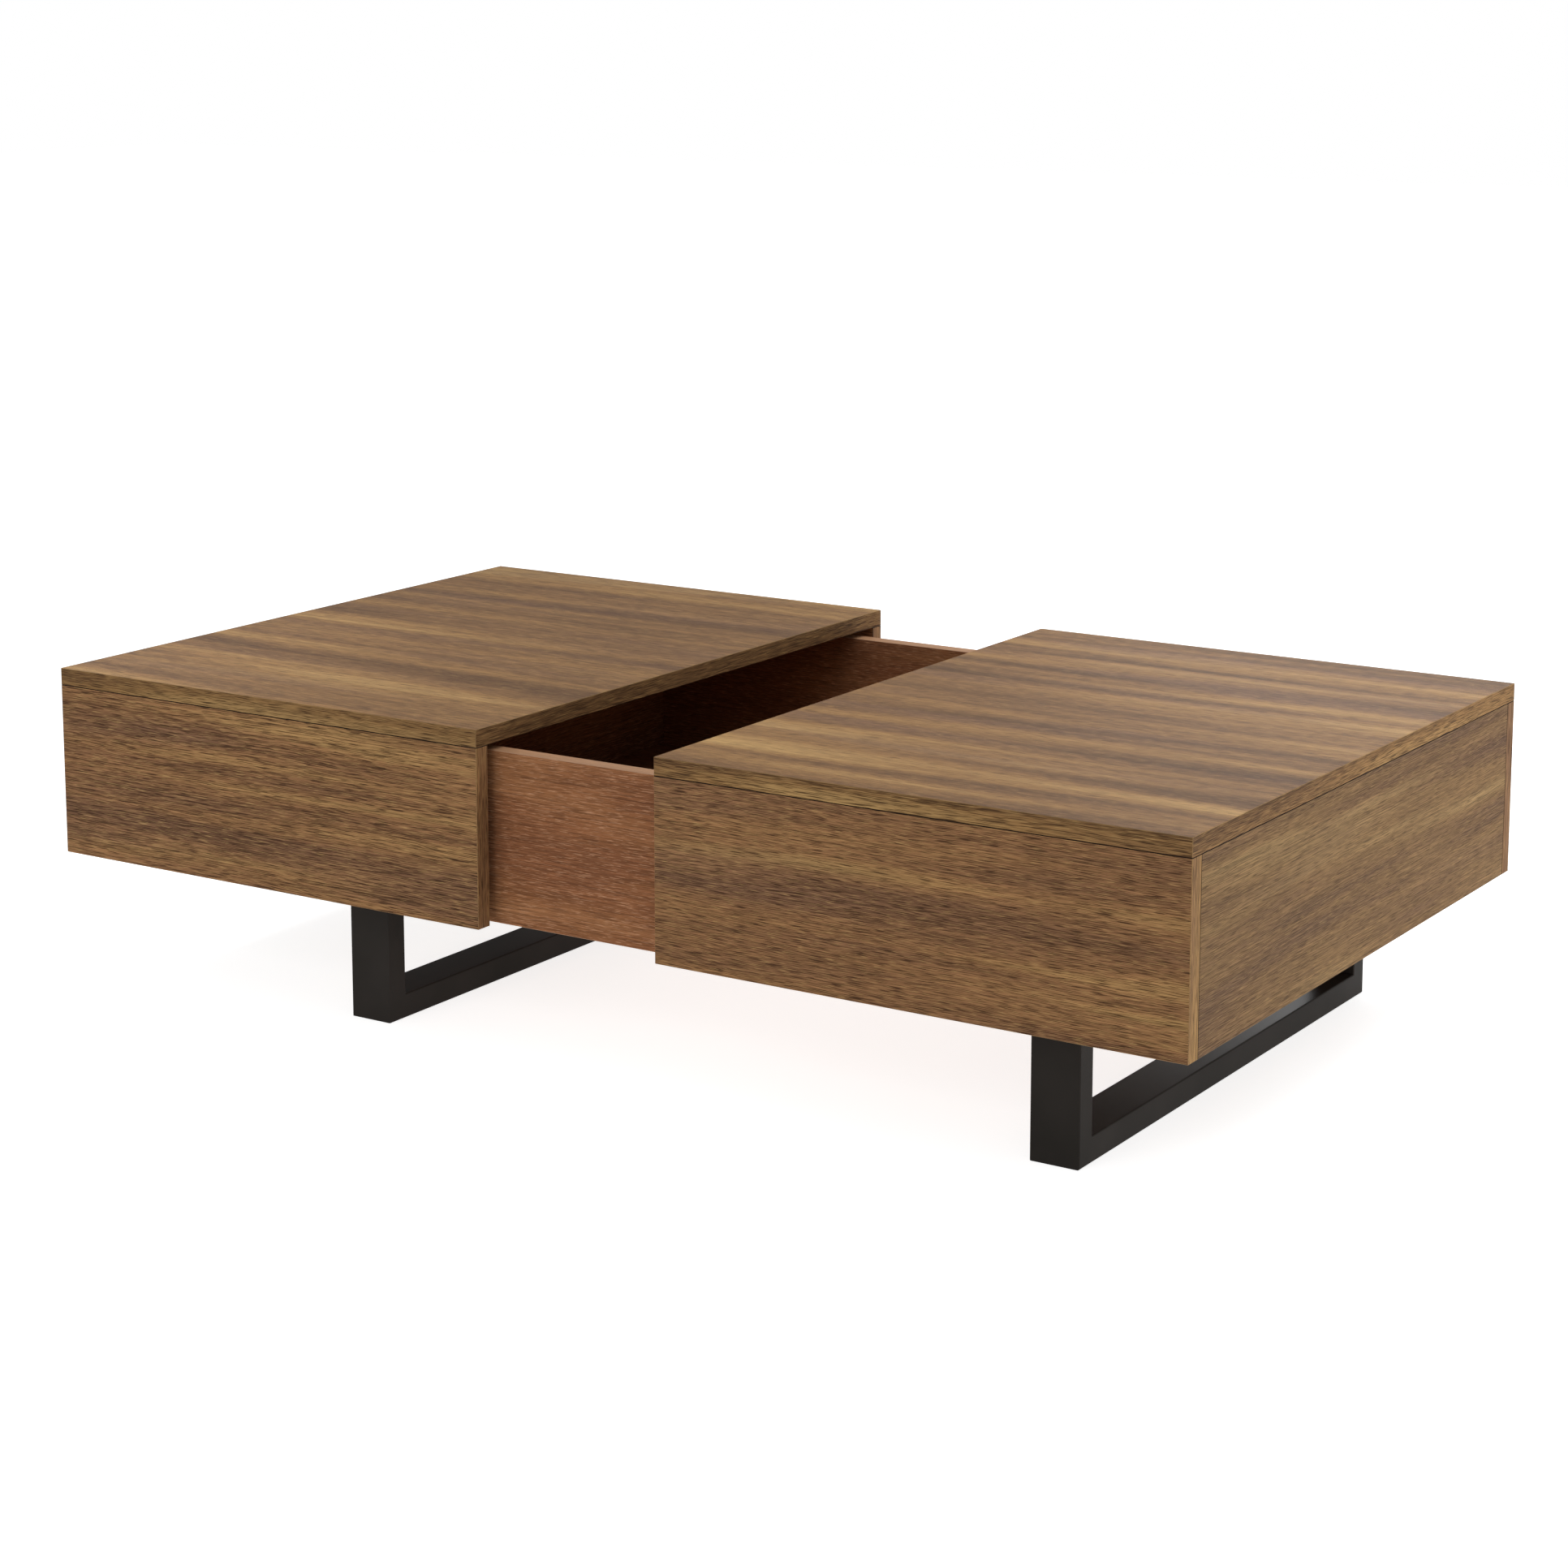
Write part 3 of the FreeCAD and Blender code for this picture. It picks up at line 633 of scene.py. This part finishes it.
def crossOutline(reach, arm):
    # a cross with arms of width arm that reach so far from the middle
    half = arm / 2
    corners = [(reach, -half), (reach, half), (half, half)]
    outline = []
    for _ in range(4):
        outline += corners
        corners = [(-y, x) for x, y in corners]
    return outline


def hexOutline(acrossFlats):
    radius = acrossFlats / 2 / math.cos(math.pi / 6)
    angles = [math.tau / 6 * i for i in range(6)]
    return [(radius * math.cos(angle), radius * math.sin(angle)) for angle in angles]


# Thread: how far its ridge is sunk in the core, in mm, and half its foot as a share of the pitch
thread = {"sunk": 0.15, "halfFoot": 0.32, "stepsPerTurn": 16}


def threadRidge(core, crest, pitch, start, end):
    # a sharp ridge wound round Z from one height to another, that runs out at both ends
    bm = bmesh.new()
    root = core - thread["sunk"]
    foot = thread["halfFoot"] * pitch
    verts = [bm.verts.new((radius * millimetre, 0, height * millimetre))
             for radius, height in ((root, start - foot), (crest, start), (root, start + foot))]
    edges = [bm.edges.new((verts[i - 1], verts[i])) for i in range(len(verts))]
    turns = (end - start) / pitch
    count = round(turns * thread["stepsPerTurn"])
    bmesh.ops.spin(bm, geom=verts + edges, cent=(0, 0, 0), axis=(0, 0, 1), angle=turns * math.tau,
                   dvec=(0, 0, (end - start) / count * millimetre), steps=count)
    bmesh.ops.holes_fill(bm, edges=[edge for edge in bm.edges if edge.is_boundary])
    for vert in bm.verts:
        radius = math.hypot(vert.co.x, vert.co.y) / millimetre
        height = vert.co.z / millimetre
        grown = min(1, max(0, min(height - start, end - height) / pitch))
        if radius > core:
            ratio = (root + (crest - root) * grown) / radius
            vert.co.x *= ratio
            vert.co.y *= ratio
    return keepShape(bm)


# Screws: sizes in mm. The recess is a cross (reach, arm width) or a hexagon across its flats,
# and its floor is as wide as the taper's share of its mouth.
slideScrew = {"headHeight": 1.6, "rounding": 0.9, "cross": (1.75, 0.85), "recessDepth": 1.1,
              "taper": 0.6, "pitch": 1.4, "threadDepth": 0.55, "plainShank": 1.0, "point": 3.5}
screwLooks = {
    "slide_outer_screws": slideScrew,
    "slide_inner_screws": slideScrew,
    "leg_screws": {"headHeight": 3.0, "rounding": 1.6, "cross": (2.5, 1.2), "recessDepth": 1.9,
                   "taper": 0.6, "pitch": 2.2, "threadDepth": 0.8, "plainShank": 5.0, "point": 4.0},
    "box_screws": {"headHeight": 3.0, "rounding": 0.3, "hexagon": 4.0, "recessDepth": 2.2,
                   "taper": 0.96, "pitch": 3.0, "threadDepth": 0.7, "plainShank": 9.0, "point": 3.0},
}
# What all screws share: the fillet under the head, the blunt tip's length and its width as a
# share of the core, and the share of the point that the thread goes down
screwForm = {"fillet": 0.3, "tipLength": 0.6, "tipWidth": 0.35, "threadInPoint": 0.3}
recessTurn = 2.4     # radians from one screw to the next, so that no two recesses stand alike


def screwShape(look, head, shank, length):
    # along Z from the outside of its head
    core = shank / 2 - look["threadDepth"]
    point = length - look["point"]
    headEnd = look["headHeight"]
    plainEnd = headEnd + look["plainShank"]
    fillet = screwForm["fillet"]
    bm = bmesh.new()
    spinProfile(bm, roundedCorner(head / 2, 0, look["rounding"]) + [
        (head / 2, headEnd), (core + fillet, headEnd), (core, headEnd + fillet), (core, plainEnd),
        (core, point), (screwForm["tipWidth"] * core, length - screwForm["tipLength"]), (0, length)])
    outline = crossOutline(*look["cross"]) if "cross" in look else hexOutline(look["hexagon"])
    sinkRecess(bm, outline, look["recessDepth"], look["taper"])
    threadEnd = point + screwForm["threadInPoint"] * look["point"]
    bm.from_mesh(threadRidge(core, shank / 2, look["pitch"], plainEnd, threadEnd))
    return keepShape(bm)


def makeScrews(material):
    # from the middle to a corner of a CAD screw, which has six sides, to mm across its flats
    flats = 2 * math.cos(math.pi / 6) / millimetre
    for node in frame["nodes"]:
        look = next((screwLooks[kind] for kind in screwLooks if node.endswith(kind)), None)
        if look is None:
            continue
        bm = bmesh.new()
        shape = None
        for number, corners in enumerate(solidsOf(node)):
            size, middle = sizeAndMiddle(corners)
            axis = max(range(3), key=lambda i: size[i])
            width = {corner: (corner - middle - unit(axis) * (corner - middle)[axis]).length
                     for corner in map(Vector.freeze, corners)}
            head, shank = max(width.values()) * flats, min(width.values()) * flats
            sign = -1 if max(width, key=width.get)[axis] > middle[axis] else 1     # away from the head
            shape = shape or screwShape(look, head, shank, size[axis] / millimetre)
            start = middle - unit(axis, sign) * size[axis] / 2
            turn = Matrix.Rotation(recessTurn * number, 4, "Z")
            placeShape(bm, shape, standing(start, unit(axis, sign), unit((axis + 1) % 3)) @ turn)
        standFor(node, bm, material)


def makeBalls(material):
    for node in frame["nodes"]:
        if not node.endswith("_balls"):
            continue
        bm = bmesh.new()
        for corners in solidsOf(node):
            middle = sum(corners, Vector()) / len(corners)
            radius = max((corner - middle).length for corner in corners)
            bmesh.ops.create_icosphere(bm, subdivisions=4, radius=radius, matrix=Matrix.Translation(middle))
        standFor(node, bm, material)


# Cam lock of the shells' joints: a disc with a cross recess, a floor, and between them a
# C-shaped wall that draws the bolt's head; sizes in mm
camLook = {"face": 2.6, "rounding": 0.4, "cross": (4.2, 1.5), "recessDepth": 1.9, "taper": 0.7,
           "wallOuter": 6.9, "wallInner": 4.6, "wallAngle": 230,
           "floor": 2.2, "floorInset": 0.2, "floorChamfer": 0.4, "sides": 48, "wallSides": 32}


def camShape(diameter, depth):
    # its face at height 0, the bolt towards Y
    radius = diameter / 2
    wallTop, wallEnd = camLook["face"], depth - camLook["floor"]
    bm = bmesh.new()
    spinProfile(bm, roundedCorner(radius, 0, camLook["rounding"]) + [(radius, wallTop), (0, wallTop)],
                camLook["sides"])
    sinkRecess(bm, crossOutline(*camLook["cross"]), camLook["recessDepth"], camLook["taper"])
    parts = [keepShape(bm)]

    bm = bmesh.new()
    floor, chamfer = radius - camLook["floorInset"], camLook["floorChamfer"]
    spinProfile(bm, [(0, wallEnd), (floor, wallEnd), (floor, depth - chamfer), (floor - chamfer, depth),
                     (0, depth)], camLook["sides"])
    parts.append(keepShape(bm))

    bm = bmesh.new()
    inner, outer = camLook["wallInner"], camLook["wallOuter"]
    spinProfile(bm, [(inner, wallTop), (outer, wallTop), (outer, wallEnd), (inner, wallEnd)],
                camLook["wallSides"], math.radians(camLook["wallAngle"]), closed=True)
    start = math.radians(90 + (360 - camLook["wallAngle"]) / 2)
    bmesh.ops.rotate(bm, verts=bm.verts, cent=(0, 0, 0), matrix=Matrix.Rotation(start, 3, "Z"))
    parts.append(keepShape(bm))

    bm = bmesh.new()
    for part in parts:
        bm.from_mesh(part)
    return keepShape(bm)


def makeCams(side, material):
    shellLow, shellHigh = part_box(side + "top_board")
    shellMiddle = (shellLow + shellHigh) / 2
    bm = bmesh.new()
    shape = None
    for corners in solidsOf(side + "cam_locks"):
        size, middle = sizeAndMiddle(corners)
        axis = min(range(3), key=lambda i: size[i])
        sign = 1 if middle[axis] > shellMiddle[axis] else -1      # it is let in from inside the shell
        shape = shape or camShape(size.z / millimetre, size[axis] / millimetre)
        face = middle - unit(axis, sign) * size[axis] / 2
        placeShape(bm, shape, standing(face, unit(axis, sign), unit(2)))
    standFor(side + "cam_locks", bm, material)


# Cam bolt: a rounded head on a neck, a sleeve that ends in a collar, and a coarse thread in the
# top board; sizes in mm, and the widths of the crown and the tip as shares of head and core
boltLook = {"head": 6.2, "headEnd": 4.6, "crown": 0.35, "crownWidth": 0.7, "shoulders": (1.3, 3.4),
            "neck": 3.4, "neckEnd": 9.0, "cone": 0.8, "collar": 1.2, "collarStep": 0.4,
            "core": 4.4, "crest": 6.4, "pitch": 2.5, "thread": 11.0, "threadInset": (0.5, 0.8),
            "tip": 1.2, "tipWidth": 0.6}


def boltShape(diameter, length):
    # along Z from the head in its cam
    head, neck, core = boltLook["head"] / 2, boltLook["neck"] / 2, boltLook["core"] / 2
    front, back = boltLook["shoulders"]
    collar, sleeve = diameter / 2, diameter / 2 - boltLook["collarStep"]
    collarEnd = length - boltLook["thread"]
    collarStart = collarEnd - boltLook["collar"]
    first, last = boltLook["threadInset"]
    bm = bmesh.new()
    spinProfile(bm, [
        (0, 0), (boltLook["crownWidth"] * head, boltLook["crown"]), (head, front), (head, back),
        (neck, boltLook["headEnd"]), (neck, boltLook["neckEnd"]),
        (sleeve, boltLook["neckEnd"] + boltLook["cone"]), (sleeve, collarStart), (collar, collarStart),
        (collar, collarEnd), (core, collarEnd), (core, length - boltLook["tip"]),
        (boltLook["tipWidth"] * core, length), (0, length)])
    crest = boltLook["crest"] / 2
    bm.from_mesh(threadRidge(core, crest, boltLook["pitch"], collarEnd + first, length - last))
    return keepShape(bm)


def makeBolts(side, material):
    bm = bmesh.new()
    shape = None
    for corners in solidsOf(side + "cam_bolts"):
        size, middle = sizeAndMiddle(corners)
        shape = shape or boltShape(min(size.x, size.y) / millimetre, size.z / millimetre)
        start = middle - unit(2) * size.z / 2
        placeShape(bm, shape, standing(start, unit(2), unit(1)))
    standFor(side + "cam_bolts", bm, material)


# Dowel: a pressed rod with lengthwise flutes and chamfered ends; sizes in mm, and its turn in
# radians from one dowel to the next
dowelLook = {"flutes": 24, "fluteDepth": 0.25, "chamfer": 1.2, "turn": 0.7}


def dowelShape(diameter, length):
    bm = bmesh.new()
    radius = diameter / 2
    grain = bm.verts.layers.float_vector.new("grain")
    ring = bmesh.ops.create_circle(bm, segments=2 * dowelLook["flutes"],
                                   radius=radius * millimetre)["verts"]
    for vert in ring[::2]:
        vert.co *= 1 - dowelLook["fluteDepth"] / radius
    edges = list(bm.edges)
    ends = 1 - dowelLook["chamfer"] / radius / 2
    bmesh.ops.scale(bm, vec=(ends, ends, 1), verts=ring)
    bmesh.ops.contextual_create(bm, geom=edges)
    for rise, growth in ((dowelLook["chamfer"], 1 / ends), (length - 2 * dowelLook["chamfer"], 1),
                         (dowelLook["chamfer"], ends)):
        grown = bmesh.ops.extrude_edge_only(bm, edges=edges)["geom"]
        verts = [item for item in grown if isinstance(item, bmesh.types.BMVert)]
        edges = [item for item in grown if isinstance(item, bmesh.types.BMEdge) and item.is_boundary]
        bmesh.ops.translate(bm, vec=(0, 0, rise * millimetre), verts=verts)
        bmesh.ops.scale(bm, vec=(growth, growth, 1), verts=verts)
    bmesh.ops.contextual_create(bm, geom=edges)
    for vert in bm.verts:
        vert[grain] = (vert.co.z / millimetre, vert.co.x / millimetre, vert.co.y / millimetre)
    return keepShape(bm)


def makeDowels(side, material):
    bm = bmesh.new()
    shape = None
    for number, corners in enumerate(solidsOf(side + "dowels")):
        size, middle = sizeAndMiddle(corners)
        axis = max(range(3), key=lambda i: size[i])
        shape = shape or dowelShape(min(size) / millimetre, size[axis] / millimetre)
        start = middle - unit(axis) * size[axis] / 2
        turn = Matrix.Rotation(dowelLook["turn"] * number, 4, "Z")
        placeShape(bm, shape, standing(start, unit(axis), unit((axis + 1) % 3)) @ turn)
    standFor(side + "dowels", bm, material)


# Weld bead round the top of each post, under the powder coat; sizes in mm
weld = {"radius": 2.2, "ripple": 0.2, "step": 1.0, "pitch": 3.0, "sides": 10}


def makeWelds(material):
    for side in ("left", "right"):
        bm = bmesh.new()
        for post in ("_leg_front_post", "_leg_rear_post"):
            addWeldBead(bm, *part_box(side + post))
        piece = finishMesh(bm, side + "LegWelds")
        piece.data.materials.append(material)
        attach(piece, bodyOf[side + "_leg_plate"])


def addWeldBead(bm, low, high):
    # rings of a bead whose middle runs along the corner of post and plate
    corners = [Vector((low.x, low.y, high.z)), Vector((high.x, low.y, high.z)), Vector(high),
               Vector((low.x, high.y, high.z))]
    runs = [corners[(number + 1) % 4] - corner for number, corner in enumerate(corners)]
    rings = []
    for number, corner in enumerate(corners):
        run = runs[number]
        steps = round(run.length / (weld["step"] * millimetre))
        for i in range(steps):
            wave = math.sin(math.tau * weld["step"] * len(rings) / weld["pitch"])
            radius = (weld["radius"] + weld["ripple"] * wave) * millimetre
            direction = run if i else run.normalized() + runs[number - 1].normalized()
            turn = direction.to_track_quat("Z", "Y").to_matrix().to_4x4()
            place = Matrix.Translation(corner + run * (i / steps)) @ turn
            ring = bmesh.ops.create_circle(bm, segments=weld["sides"], radius=radius, matrix=place)["verts"]
            rings.append(list(dict.fromkeys(edge for vert in ring for edge in vert.link_edges)))
    for number, ring in enumerate(rings):
        bmesh.ops.bridge_loops(bm, edges=ring + rings[number - 1])


makeCamera()
makeStudio()
print("camera and studio done")
finishBoards()
coat = powderCoat()
finishes = {name: metal(name) for name in metals}
for node in frame["nodes"]:
    if "_leg_" in node:
        assign(node, coat)
    elif node.endswith("_cage"):
        assign(node, finishes["retainerStrip"])
    elif node.endswith(("_slide_outer", "_slide_middle", "_slide_inner")):
        assign(node, finishes["zincPlatedSheet"])
print("finishes done")
makeBalls(finishes["lappedBallSteel"])
makeScrews(finishes["zincPlatedScrew"])
wood = beechWood()
for side in ("left_", "right_"):
    makeCams(side, finishes["zincCasting"])
    makeBolts(side, finishes["zincPlatedScrew"])
    makeDowels(side, wood)
makeWelds(coat)
print("fittings done")
